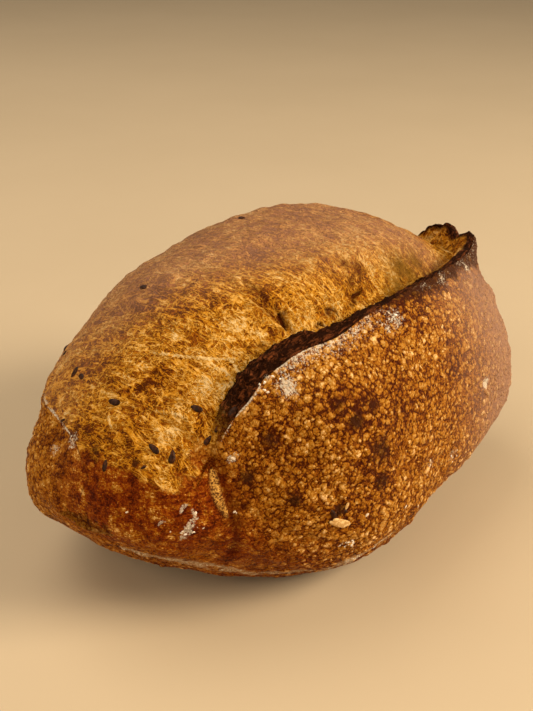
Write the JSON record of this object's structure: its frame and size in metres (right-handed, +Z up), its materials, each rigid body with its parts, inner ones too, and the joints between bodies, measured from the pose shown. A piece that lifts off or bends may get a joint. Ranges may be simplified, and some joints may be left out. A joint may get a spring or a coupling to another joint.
{
  "type": "seeded sourdough bread",
  "caption": "Stout oval hearth loaf with one long score: a raised, torn ear over a tall fibrous bloom, blistered brown crust and dark seeds set in it.",
  "frame": {"origin": "centre of the bounding box's bottom face, on the surface that the loaf rests on", "axes": "+X along the loaf toward the end where the ear curls round, -Y toward the blistered side that carries the ear, +Z up"},
  "size_m": [0.2274, 0.163, 0.1269],
  "materials": {
    "crust": "matte baked crust, brown to golden, with a soft sheen"
  },
  "bodies": {
    "root": {"bread": "crust"}
  },
  "joints": []
}
